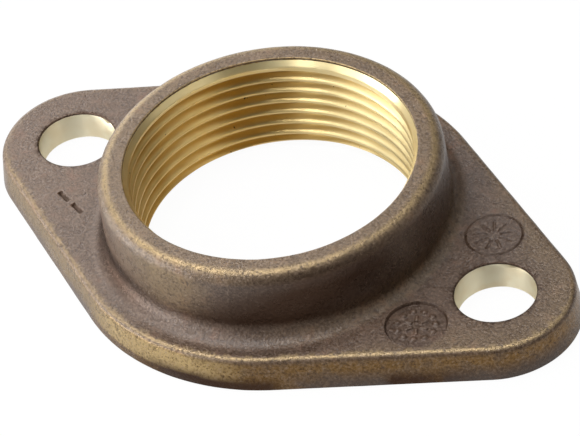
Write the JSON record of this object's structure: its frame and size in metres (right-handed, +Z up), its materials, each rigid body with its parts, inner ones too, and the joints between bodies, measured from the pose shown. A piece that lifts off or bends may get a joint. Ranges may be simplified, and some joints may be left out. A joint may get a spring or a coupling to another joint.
{
  "type": "threaded flange",
  "caption": "Oval cast bronze pipe flange with a raised round boss, an internal tapered pipe thread and a bolt hole in each ear.",
  "frame": {"origin": "on the bore's axis, on the flat gasket face that the flange stands on", "axes": "+X through the two bolt holes, +Z up the bore towards the boss"},
  "size_m": [0.106, 0.067, 0.0179],
  "materials": {
    "cast_bronze": "brown as-cast skin, bright where it is machined"
  },
  "bodies": {
    "root": {"flange_body": "cast_bronze"}
  },
  "joints": []
}
